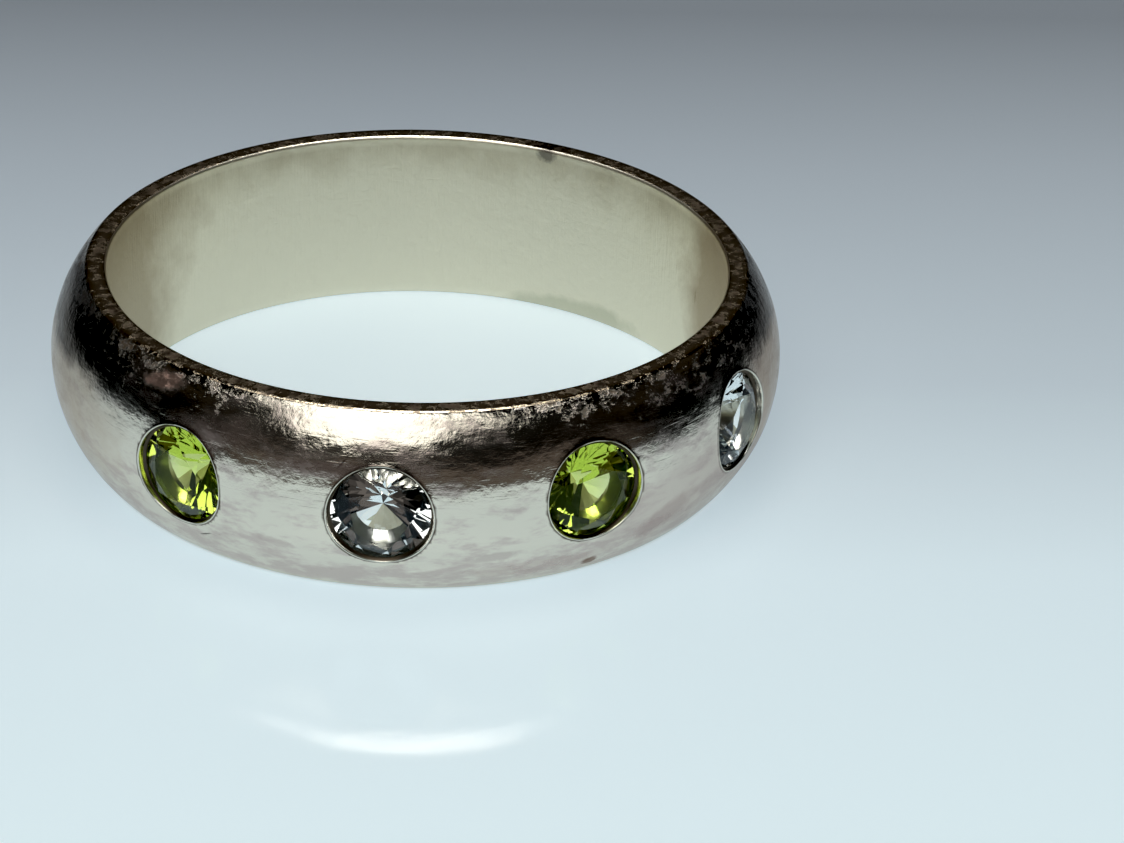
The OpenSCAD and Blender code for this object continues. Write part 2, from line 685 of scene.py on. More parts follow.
# The pattern's values between which a fleck starts and is whole
FLECK_EDGE = (0.49, 0.68)
FLECK_DULLS = 0.2
# The dirt in them is no metal
FLECK_METAL = 0.65
# Stray scratches in three directions: turn in degrees and shift in millimetres
SCRATCH_WAYS = (
    ((20, 35, 10), (0, 0, 0)),
    ((-40, 15, 70), (3.1, 1.7, 0)),
    ((75, -20, 130), (6.2, 3.4, 0)),
)
# They come out over a millimetre long and 0.03 mm wide, which is wider than the real ones
SCRATCH_TO_MM = (0.7, 0.7, 13)
SCRATCH_EDGE = (0.66, 0.74)
# Cloud at which tarnish starts with a share of 0, and by how much a share of 1 lowers it
TARNISH_FROM, TARNISH_BY = 0.7, 0.5
TARNISH_DULLS = 0.12
# Dirt sits in the groove round each seat, thickest under the clouds
DIRT = "4A3C33"
DIRT_EDGE = (0.15, 0.5)
# Rubbing polishes
RUB_POLISHES = 0.1
# Silver keeps a little of its warmth at a glancing angle
GLANCE = "ECE8E4"
# Radius of the cylinder on which patterns are laid round the ring
ROUND_MM = 9.0
# Where a mark starts to fade and ends, in its half sizes with its ragged pattern added
MARK_EDGE = (1.1, 1.55)
# How much smaller its ragged pattern is than its length and breadth together
MARK_RAGS = 8


@dataclass(frozen=True)
class Mark:
    """One mark at a place on the metal: a stain, scratch or scuff, or a patch of painted shade."""

    azimuth: float
    height: float
    radius: float
    length: float
    breadth: float
    tilt: float
    colour: str
    strength: float
    dulls: float = 0.0

    def centre(self) -> Vector:
        """The mark's place in the ring's frame, in millimetres."""
        way = math.radians(self.azimuth)
        return Vector((self.radius * math.sin(way), -self.radius * math.cos(way), self.height))

    def shape(self, tree: Tree, place: Socket) -> Socket:
        """The mark's soft, ragged outline.

        Args:
            tree: The material's tree.
            place: The place in the ring's frame, in millimetres.

        Returns:
            Its strength, 0 outside it.
        """
        add = partial(add_node, tree)
        local = add("VectorMath", {0: place}, {1: self.centre()}, operation="SUBTRACT")
        for axis, angle in (((0, 0, 1), -self.azimuth), ((0, 1, 0), self.tilt)):
            turn = {"Axis": axis, "Angle": math.radians(angle)}
            local = add("VectorRotate", {"Vector": local}, turn)
        size = (2 / self.length, 2 / self.length, 2 / self.breadth)
        scaled = add("VectorMath", {0: local}, {1: size}, operation="MULTIPLY")
        away = add("VectorMath", {0: scaled}, out="Value", operation="LENGTH")
        rag = (self.length + self.breadth) / MARK_RAGS
        ragged = pattern(tree, place, (rag, rag), RAGS)
        pushed = add("Math", {0: away, 1: ragged}, operation="ADD")
        return add("MapRange", {"Value": pushed}, span(*MARK_EDGE, self.strength, 0.0))


@dataclass(frozen=True)
class SilverFinish:
    """Sterling silver with one surface treatment, worn and lightly tarnished.

    Lengths are millimetres. The spacing of the grain and of the clouds of tarnish is given
    round the ring and along the finger. The zones of stain and flecks are heights: the stain,
    which on the finger hole's wall is painted shade, fades from the first to the second, and the
    flecks come in between them.
    """

    name: str
    colour: str
    tarnish: str
    tarnish_share: float
    roughness: float
    grain: Pair
    grain_depth: float
    scratch_depth: float
    crumb_depth: float = 0.002
    swell_depth: float = 0.0
    tarnish_edge: float = 0.25
    mottle: Pair = (2.6, 1.0)
    cloudy: float = 1.0
    stain_and_shade: float = 0.0
    stain_and_shade_at: Pair | None = None
    flecks_at: Pair | None = None
    fleck: str = "7F6F5C"
    rubbed_clean: Mark | None = None
    marks: tuple[Mark, ...] = ()

    def material(self) -> bpy.types.Material:
        """Builds the material.

        Returns:
            The new material.
        """
        material = bpy.data.materials.new(self.name)
        tree = empty_tree(material)
        add = partial(add_node, tree)
        place = place_in_mm(tree)
        high = add("SeparateXYZ", {0: place}, out=2)
        cylinder = self.unrolled(tree, place)
        wear, grime = (
            add("Attribute", out="Fac", attribute_name=name) for name in ("wear", "grime")
        )
        cloud = pattern(tree, cylinder, self.mottle, CLOUDS)
        worn = self.tarnished(tree, cloud, high, wear)
        dirt = add("Math", {0: grime, 1: cloud}, operation="MULTIPLY")
        dirt = add("MapRange", {"Value": dirt}, span(*DIRT_EDGE), **SOFT)

        # Colours over the bare metal, what makes it duller or brighter, and its relief. The
        # grain of the last abrasive is finer than a pixel and drawn at 0.05 mm or more.
        coats = [(worn, self.tarnish), (dirt, DIRT)]
        dulls = [(wear, -RUB_POLISHES)]
        reliefs = [
            (pattern(tree, cylinder, SWELL_MM, SWELLS), self.swell_depth),
            (pattern(tree, place, CRUMB_MM, CRUMBS), self.crumb_depth),
            (pattern(tree, cylinder, self.grain, GRAIN), self.grain_depth),
            (self.scratches(tree, place), -self.scratch_depth),
        ]
        metallic = {}
        if self.flecks_at:
            fleck = self.flecked(tree, place, high, cloud)
            coats.append((fleck, self.fleck))
            dulls.append((fleck, FLECK_DULLS))
            reliefs.append((fleck, -FLECK_DEPTH))
            less = span(0.0, 1.0, 1.0, FLECK_METAL)
            metallic = {"Metallic": add("MapRange", {"Value": fleck}, less)}
        for mark in self.marks:
            shape = mark.shape(tree, place)
            coats.append((shape, mark.colour))
            if mark.dulls:
                dulls.append((shape, mark.dulls))

        plain = {1: TARNISH_DULLS, 2: self.roughness}
        rough = add("Math", {0: worn}, plain, operation="MULTIPLY_ADD")
        for share, more in dulls:
            rough = add("Math", {0: share, 2: rough}, {1: more}, operation="MULTIPLY_ADD")
        normal = {}
        for height, depth in reliefs:
            if depth:
                deep = {"Distance": abs(depth) * MM}
                bump = add("Bump", {"Height": height} | normal, deep, invert=depth < 0)
                normal = {"Normal": bump}
        links = {"Base Color": layered(tree, self.colour, coats), "Roughness": rough}
        values = {"Metallic": 1.0, "Specular Tint": srgb(GLANCE)}
        shader = add("BsdfPrincipled", links | normal | metallic, values)
        add("OutputMaterial", {"Surface": shader})
        return material

    def tarnished(self, tree: Tree, cloud: Socket, high: Socket, wear: Socket) -> Socket:
        """Where tarnish has gathered in clouds and stains and isn't rubbed off. On the finger
        hole's wall the stain by height is painted shade.

        Args:
            tree: The material's tree.
            cloud: The pattern of the clouds, from 0 to 1.
            high: Height in the ring's frame, in millimetres.
            wear: How much the metal is rubbed bright.

        Returns:
            The tarnish, from 0 to 1.
        """
        add = partial(add_node, tree)
        contrast = span(0.0, 1.0, 0.5 - 0.5 * self.cloudy, 0.5 + 0.5 * self.cloudy)
        patchy = add("MapRange", {"Value": cloud}, contrast)
        if self.stain_and_shade_at:
            stain_and_shade = add("MapRange", {"Value": high}, span(*self.stain_and_shade_at, self.stain_and_shade, 0.0))
            patchy = add("Math", {0: patchy, 1: stain_and_shade}, operation="ADD")
        start = TARNISH_FROM - TARNISH_BY * self.tarnish_share
        step = span(start, start + self.tarnish_edge)
        tarnish = add("MapRange", {"Value": patchy}, step, **SOFT)
        return add("Math", {0: tarnish, 1: wear}, operation="SUBTRACT", use_clamp=True)

    def flecked(self, tree: Tree, place: Socket, high: Socket, cloud: Socket) -> Socket:
        """Where dull flecks lie, thicker towards the upper edge of their zone.

        Args:
            tree: The material's tree.
            place: The place in the ring's frame, in millimetres.
            high: Its height.
            cloud: The pattern of the clouds, from 0 to 1.

        Returns:
            The flecks, from 0 to 1.
        """
        add = partial(add_node, tree)
        shifts = [
            (add("MapRange", {"Value": high}, span(*self.flecks_at, *FLECK_RISE)), "ADD"),
            (add("MapRange", {"Value": cloud}, span(*FLECK_CLOUDS)), "ADD"),
        ]
        if self.rubbed_clean:
            shifts.append((self.rubbed_clean.shape(tree, place), "SUBTRACT"))
        fleck = pattern(tree, place, FLECK_MM, FLECKS)
        for shift, way in shifts:
            fleck = add("Math", {0: fleck, 1: shift}, operation=way)
        return add("MapRange", {"Value": fleck}, span(*FLECK_EDGE), **SOFT)

    @staticmethod
    def scratches(tree: Tree, place: Socket) -> Socket:
        """Where stray scratches run.

        Args:
            tree: The material's tree.
            place: The place in the ring's frame, in millimetres.

        Returns:
            The scratches, from 0 to 1.
        """
        add = partial(add_node, tree)
        found = None
        for turn, shift in SCRATCH_WAYS:
            angles = tuple(math.radians(angle) for angle in turn)
            values = {"Rotation": angles, "Location": shift, "Scale": SCRATCH_TO_MM}
            turned = add("Mapping", {"Vector": place}, values)
            raw = pattern(tree, turned, (1, 1), SWELLS)
            thin = add("MapRange", {"Value": raw}, span(*SCRATCH_EDGE), **SOFT)
            found = add("Math", {0: found, 1: thin}, operation="MAXIMUM") if found else thin
        return found

    @staticmethod
    def unrolled(tree: Tree, place: Socket) -> Socket:
        """Coordinates that don't change with the distance from the ring's axis.

        Args:
            tree: The material's tree.
            place: The place in the ring's frame, in millimetres.

        Returns:
            The point of a cylinder that lies in the same direction, at the same height.
        """
        add = partial(add_node, tree, "VectorMath")
        flat = add({0: place}, {1: (1, 1, 0)}, operation="MULTIPLY")
        way = add({0: flat}, operation="NORMALIZE")
        rim = add({0: way}, {"Scale": ROUND_MM}, operation="SCALE")
        return add({0: place, 2: rim}, {1: (0, 0, 1)}, operation="MULTIPLY_ADD")


@dataclass(frozen=True)
class GemFinish:
    """A cut and polished transparent stone, whose density is to one metre."""

    name: str
    ior: float
    absorbed: str
    density: float
    sheen: str
    girdle_roughness: float = 0.45

    def materials(self) -> list[bpy.types.Material]:
        """Builds the facets' material and the girdle's, which the cutter leaves ground.

        Returns:
            Both materials, with the colour in the stone's body.
        """
        made = []
        girdle = self.name.replace("polished", "girdle")
        for name, roughness in ((self.name, 0.0), (girdle, self.girdle_roughness)):
            material = bpy.data.materials.new(name)
            tree = empty_tree(material)
            values = {
                "Base Color": (1, 1, 1, 1),
                "Roughness": roughness,
                "IOR": self.ior,
                "Transmission Weight": 1.0,
                "Specular Tint": srgb(self.sheen),
            }
            shader = add_node(tree, "BsdfPrincipled", values=values)
            colour = {"Color": srgb(self.absorbed), "Density": self.density}
            body = add_node(tree, "VolumeAbsorption", values=colour)
            add_node(tree, "OutputMaterial", {"Surface": shader, "Volume": body})
            made.append(material)
        return made


GEMS = {
    # Peridot, the yellow-green of olivine, polished on a lap: deep in colour and glassy
    Gem.GREEN: GemFinish("peridot_polished", 1.67, "E5F17B", 1000.0, "8CA05A"),
    # White topaz, polished on a lap: water clear with the faintest cold tint
    Gem.CLEAR: GemFinish("white_topaz_polished", 1.62, "E6F4F6", 180.0, "667480"),
}

SILVER_DOME = SilverFinish(
    # Half-round wire, emery-finished and worn: satin, with cloudy pinkish-grey tarnish
    name="sterling_satin_dome",
    colour="E0D9CB",
    tarnish="CABDB5",
    tarnish_share=0.5,
    tarnish_edge=0.22,
    stain_and_shade=0.13,
    stain_and_shade_at=(0.2, 1.6),
    flecks_at=(3.9, 4.85),
    # Only its place, its size and its strength count
    rubbed_clean=Mark(-31.0, 4.3, 9.3, 8.0, 2.4, 0, "FFFFFF", 0.5),
    roughness=0.15,
    grain=(0.5, 0.06),
    grain_depth=0.0025,
    crumb_depth=0.016,
    swell_depth=0.04,
    scratch_depth=0.0014,
    mottle=(1.2, 0.5),
    marks=(
        Mark(1.3, 0.42, 9.12, 0.5, 0.4, 0, "6E4A32", 0.9),
        Mark(-61.1, 0.97, 9.44, 0.5, 0.05, 24, "3E342C", 0.85),
        Mark(-38.2, 3.85, 9.52, 0.36, 0.05, 50, "4A403A", 0.8),
        Mark(-71.0, 4.62, 9.08, 1.6, 0.5, 12, "BC9080", 0.7, 0.32),
        Mark(-15.5, 1.27, 9.57, 1.6, 0.35, 4, "B3A29E", 0.5),
        Mark(-48.4, 1.43, 9.62, 1.2, 0.3, -6, "B3A29E", 0.4),
        Mark(24.0, 1.6, 9.65, 1.8, 0.5, -8, "AF9E9A", 0.5),
        Mark(-60.0, 3.9, 9.4, 3.6, 1.0, 12, "A98F8A", 0.6, 0.2),
        Mark(-38.0, 3.65, 9.55, 4.6, 0.5, 0, "A48E8C", 0.6, 0.16),
        # Broad darker patches over the dome's left and right flanks as the camera sees them:
        # painted shade
        Mark(-104.0, 2.5, 9.78, 9.0, 6.0, 0, "C2B19E", 0.7),
        Mark(54.0, 2.4, 9.78, 9.0, 6.0, 0, "B3A090", 0.85),
        Mark(20.0, 1.7, 9.65, 7.0, 3.4, 0, "BCADA6", 0.5),
        Mark(14.0, 1.3, 9.55, 2.4, 0.9, 24, "A8928E", 0.5, 0.1),
        Mark(30.0, 2.3, 9.75, 1.5, 1.9, 10, "AA9692", 0.5, 0.1),
        Mark(40.0, 1.2, 9.55, 2.6, 1.2, -12, "A8928E", 0.35, 0.1),
        Mark(-8.0, 0.7, 9.3, 4.0, 0.6, 0, "B49E98", 0.35, 0.1),
        # Near-black along the dome's upper flanks, left and right as the camera sees them: painted
        # dark reflection
        Mark(57.0, 4.65, 9.05, 9.0, 1.9, 0, "161311", 0.9),
        Mark(-106.0, 4.3, 9.25, 9.0, 2.1, 0, "141211", 0.85),
    ),
)
SILVER_WALL = SilverFinish(
    # The finger hole's wall as the mandrel and emery stick leave it: dull and yellowed
    name="sterling_matt_wall",
    colour="E4DECA",
    tarnish="AEA389",
    tarnish_share=0.3,
    tarnish_edge=0.9,
    cloudy=0.65,
    # Darker towards the top of the wall: painted shade
    stain_and_shade=0.54,
    stain_and_shade_at=(5.0, 3.1),
    roughness=0.46,
    grain=(0.07, 1.4),
    grain_depth=0.009,
    crumb_depth=0.016,
    scratch_depth=0.001,
    mottle=(1.4, 1.8),
    marks=(
        Mark(83.2, 2.55, 8.25, 0.08, 0.5, 0, "6A6452", 0.7),
        # A soft dark line along the foot of the wall at the back, where it meets the floor: a
        # painted contact shadow
        Mark(119.0, 0.1, 8.25, 5.0, 0.9, -3, "A9AA92", 0.45),
        Mark(126.5, 4.85, 8.25, 0.7, 0.5, 0, "6E6862", 0.8),
        # Brownish patches over the wall's left and right as the camera sees them: painted shade
        Mark(66.0, 3.4, 8.25, 7.0, 9.0, 0, "A08E74", 0.75),
        Mark(-120.0, 3.0, 8.25, 11.0, 11.0, 0, "9C8C73", 0.7),
    ),
)
SILVER_RIM = SilverFinish(
    # Flat edges dressed with a fine file across the metal: dark brown, partly oxide and partly
    # painted dark reflection of the room
    name="sterling_filed_rim",
    colour="A3967F",
    tarnish="2E251D",
    tarnish_share=0.6,
    roughness=0.22,
    grain=(0.07, 3.0),
    grain_depth=0.0045,
    crumb_depth=0.012,
    scratch_depth=0.001,
    mottle=(0.4, 0.4),
    flecks_at=(4.2, 4.9),
    fleck="5E5244",
    marks=(Mark(126.5, 5.0, 8.36, 1.5, 0.5, 0, "3C342C", 0.8),),
)


def cut_silver(
    name: str, colour: str, tarnish: str, share: float, roughness: float
) -> SilverFinish:
    """The finish of a cut face, whose grain of 0.08 mm is the same both ways.

    Args:
        name: The material's name.
        colour: The bare metal.
        tarnish: Its tarnish.
        share: How much of the face is tarnished.
        roughness: How dull it is.

    Returns:
        The finish.
    """
    return SilverFinish(name, colour, tarnish, share, roughness, (0.08, 0.08), 0.001, 0.0004)


CUT_SILVER = (
    # The wall that the graver leaves over the lip: satin as the dome
    cut_silver("sterling_cut_wall", "DCD8CB", "A89C94", 0.3, 0.3),
    # The burnished lip against the stone, where dirt and oxide settle: nearly black
    cut_silver("sterling_oxidised_lip", "4E463C", "241F1B", 0.6, 0.4),
    # The bearing under the stone, cut with a bur and dulled since: pale grey
    cut_silver("sterling_cut_bearing", "D0CCBE", "8E897B", 0.4, 0.3),
)


@dataclass
class Band:
    """The silver band: a domed ring with flat edges and four cut seats."""

    section: Section
    cut: Cut
    places: tuple[Place, ...] = ROW
    turns: int = 540
    finishes: tuple[SilverFinish, ...] = (SILVER_DOME, SILVER_WALL, SILVER_RIM)
    seat_finishes: tuple[SilverFinish, ...] = CUT_SILVER
    # How far the dome strays from the true arc, and its waves to a millimetre with their share
    wander: float = 0.012
    waves: tuple[Pair, ...] = ((0.45, 1.0), (1.1, 0.4))
    # How deep the metal is pressed in round a seat, and how wide
    dimple: float = 0.02
    dimple_w: float = 0.35
    # What lies this close to the true arc is the dome
    dome_skin: float = 0.03
    # Over these widths the handwork comes in from the flat edge, and after the dimple
    edge_fade: float = 0.3
    seat_fade: float = 0.5
    # How far from the lip the dimple is deepest, and over what width it comes in
    seat_rest: float = 0.1
    lip_fade: float = 0.08
    # Widths in which the band's edges and the lips are rubbed bright, and the groove is dirty
    edge_rub: float = 0.14
    lip_rub: float = 0.07
    groove: float = 0.03
    # How far from the lip it is rubbed brightest
    lip_rub_at: float = 0.02
    # Shares of the roundings that are finished with the hole's wall and with the flat edge
    wall_share: float = 0.5
    rim_share: float = 0.25
    # Edges flatter than this look round, in degrees
    smooth_to: float = 32.0

    def build(self) -> bpy.types.Object:
        """Turns the section, cuts the seats and works the surface by hand.

        Returns:
            The finished band, in metres.
        """
        obj = lathe("silver_band", self.section.outline(), self.turns, closed=True)
        for finish in self.finishes:
            obj.data.materials.append(finish.material())
        self.sort_faces(obj)
        self.cut_seats(obj)
        self.work_by_hand(obj)
        self.paint_wear(obj)
        obj.data.transform(Matrix.Scale(MM, 4))
        make_active(obj)
        bpy.ops.object.shade_smooth_by_angle(angle=math.radians(self.smooth_to))
        return obj

    def sort_faces(self, obj: bpy.types.Object) -> None:
        """Gives each face the finish of the dome, the hole's wall or a flat edge.

        Args:
            obj: The turned band.
        """
        section = self.section
        wall_r = section.bore_r + self.wall_share * section.inner_ease
        rim_at = section.half - self.rim_share * section.outer_ease
        for face in obj.data.polygons:
            if math.hypot(face.center.x, face.center.y) < wall_r:
                face.material_index = 1
            elif abs(face.center.z - section.half) > rim_at:
                face.material_index = 2

    def cut_seats(self, obj: bpy.types.Object) -> None:
        """Cuts the four seats in one pass.

        Args:
            obj: The turned band.
        """
        seat = Seat(self.section, self.cut)
        materials = [finish.material() for finish in self.seat_finishes]
        cutters = [seat.cutter(place, materials) for place in self.places]
        make_active(cutters[0])
        for cutter in cutters[1:]:
            cutter.select_set(True)
        bpy.ops.object.join()
        cutter = bpy.context.object
        make_active(obj)
        modifier = obj.modifiers.new("seats", "BOOLEAN")
        modifier.object, modifier.operation = cutter, "DIFFERENCE"
        modifier.solver, modifier.material_mode = "EXACT", "TRANSFER"
        bpy.ops.object.modifier_apply(modifier=modifier.name)
        bpy.data.objects.remove(cutter)

    def from_seats(self, points: np.ndarray) -> np.ndarray:
        """Distance of points from the nearest seat's axis, on the outer side of the ring.

        Args:
            points: One row of X, Y and Z for each point, in millimetres.

        Returns:
            One distance for each point.
        """
        nearest = np.full(len(points), FAR)
        for place in self.places:
            inverse = np.array(place.matrix(self.section).inverted())
            local = points @ inverse[:3, :3].T + inverse[:3, 3]
            away = np.hypot(local[:, 0], local[:, 1])
            nearest = np.where(local[:, 2] > 0, np.minimum(nearest, away), nearest)
        return nearest

    def work_by_hand(self, obj: bpy.types.Object) -> None:
        """Lets the dome wander a little from the true arc, and sinks it round each seat.

        Args:
            obj: The band with its seats cut, in millimetres.
        """
        section, points = self.section, points_of(obj)
        radius = np.hypot(points[:, 0], points[:, 1])
        on_dome = np.clip(1 - np.abs(section.dome_gap(points)) / self.dome_skin, 0, 1)
        flat_r = section.bore_r + section.edge_t
        on_dome *= np.clip((radius - flat_r) / self.edge_fade, 0, 1)
        from_lip = self.from_seats(points) - Seat(section, self.cut).lip_r
        past = from_lip - self.seat_rest
        clear = np.clip(past / self.seat_fade, 0, 1)
        waves = np.array(
            [sum(share * noise.noise(Vector(p) * pace) for pace, share in self.waves)
             for p in points]
        )
        ripple = np.exp(-((past / self.dimple_w) ** 2))
        sunk = self.dimple * ripple * np.clip(from_lip / self.lip_fade, 0, 1)
        push = on_dome * (self.wander * waves * clear - sunk)
        points[:, :2] *= (1 + push / radius)[:, None]
        obj.data.vertices.foreach_set("co", points.ravel())
        obj.data.update()

    def paint_wear(self, obj: bpy.types.Object) -> None:
        """Writes where the metal is rubbed bright, at edges and lips, and where dirt settles.

        Args:
            obj: The worked band, in millimetres.
        """
        section, points = self.section, points_of(obj)
        radius = np.hypot(points[:, 0], points[:, 1])
        high = section.half - np.abs(points[:, 2] - section.half)
        inner = np.hypot(radius - section.bore_r, high)
        outer = np.hypot(radius - section.bore_r - section.edge_t, high)
        # The hole's wall, which lies under the seats too, has neither lips nor grooves
        outside = radius > section.bore_r + 0.5 * section.edge_t
        seats = np.where(outside, self.from_seats(points), FAR)
        from_lip = seats - Seat(section, self.cut).lip_r
        lips = np.abs(from_lip - self.lip_rub_at)
        edges = np.minimum(inner, outer)
        wear = np.exp(-((edges / self.edge_rub) ** 2)) + np.exp(-((lips / self.lip_rub) ** 2))
        # The groove is where the rounded edge of the seat meets the dome
        grime = np.exp(-(((from_lip - EDGE[-2][0]) / self.groove) ** 2))
        for name, values in (("wear", wear), ("grime", grime)):
            attribute = obj.data.attributes.new(name, "FLOAT", "POINT")
            attribute.data.foreach_set("value", np.clip(values, 0, 1).astype(np.float32))


@dataclass
class Stones:
    """The four round brilliants, cut once and copied."""

    section: Section
    cut: Cut
    places: tuple[Place, ...] = ROW
    # Flats round the girdle
    sides: int = 96
    # How far the blank reaches past the finished stone
    spare: float = 0.5
    # Tolerances of the grinding, and what it leaves behind that is merged or dissolved
    exact: float = 1e-6
    weld: float = 2e-4
    sliver: float = 1e-4
    # A face whose normal rises less than this is part of the girdle
    upright: float = 0.05

    def build(self) -> list[tuple[bpy.types.Object, Place]]:
        """Cuts the first stone and sets a copy in each seat.

        Returns:
            Each stone with its place.
        """
        rough = self.facet()
        finishes = {gem: finish.materials() for gem, finish in GEMS.items()}
        made = []
        for place in self.places:
            obj = rough.copy()
            obj.data = rough.data.copy()
            obj.name = place.piece
            bpy.context.scene.collection.objects.link(obj)
            turn = Matrix.Rotation(math.radians(place.step * place.turn), 4, "Z")
            obj.data.transform(Matrix.Scale(MM, 4) @ place.matrix(self.section) @ turn)
            for material in finishes[place.gem]:
                obj.data.materials.append(material)
            made.append((obj, place))
        bpy.data.objects.remove(rough)
        return made

    def facet(self) -> bpy.types.Object:
        """Grinds a round blank to a brilliant, one flat after another.

        Returns:
            The stone in its seat's frame, in millimetres, its girdle with the second finish.
        """
        cut = self.cut
        low, high = cut.culet_at - self.spare, cut.table_at + self.spare
        deselect()
        bpy.ops.mesh.primitive_cylinder_add(
            vertices=self.sides,
            radius=cut.radius,
            depth=high - low,
            location=(0, 0, (low + high) / 2),
        )
        obj = bpy.context.object
        bpy.ops.object.transform_apply(location=True)
        bpy.ops.object.mode_set(mode="EDIT")
        for point, outward in cut.planes():
            bpy.ops.mesh.select_all(action="SELECT")
            bpy.ops.mesh.bisect(
                plane_co=point,
                plane_no=outward,
                use_fill=True,
                clear_outer=True,
                threshold=self.exact,
            )
        bpy.ops.mesh.select_all(action="SELECT")
        bpy.ops.mesh.remove_doubles(threshold=self.weld)
        bpy.ops.mesh.dissolve_degenerate(threshold=self.sliver)
        bpy.ops.mesh.normals_make_consistent(inside=False)
        bpy.ops.object.mode_set(mode="OBJECT")
        for face in obj.data.polygons:
            face.material_index = int(abs(face.normal.z) < self.upright)
        return obj


@dataclass(frozen=True)
class SoftBox:
    """An oval soft box that faces the ring.

    Angles are in degrees as seen from the ring, its azimuth from the camera's. The reach is
    metres, and the radiance is that of a surface shown white at 1.
    """

    name: str
    azimuth: float
    elevation: float
    half_angles: Pair
    radiance: float
    colour: str
    lights_floor: bool = True
    reach: float = 0.3


BOXES = (
    # The first two make the dome's highlight, wide above and rounded below
    SoftBox("front_box", -17.0, 44.0, (20.5, 15.0), 1.8, "FFFEF8"),
    SoftBox("front_bar", -15.0, 57.0, (32.0, 5.0), 1.8, "FFFEF8"),
    # A lamp overhead. The upper dome mirrors it, and the floor shows that as a crescent.
    SoftBox("lamp", 180.0, 84.0, (12.5, 18.0), 15.0, "FFFFFF", lights_floor=False),
    # Two small high lamps at the sides, which sparkle in the stones
    SoftBox("left_lamp", -95.0, 71.0, (10.0, 7.0), 6.0, "F4F8FF", lights_floor=False),
    SoftBox("right_lamp", 70.0, 73.0, (9.0, 7.0), 6.0, "F4F8FF", lights_floor=False),
)


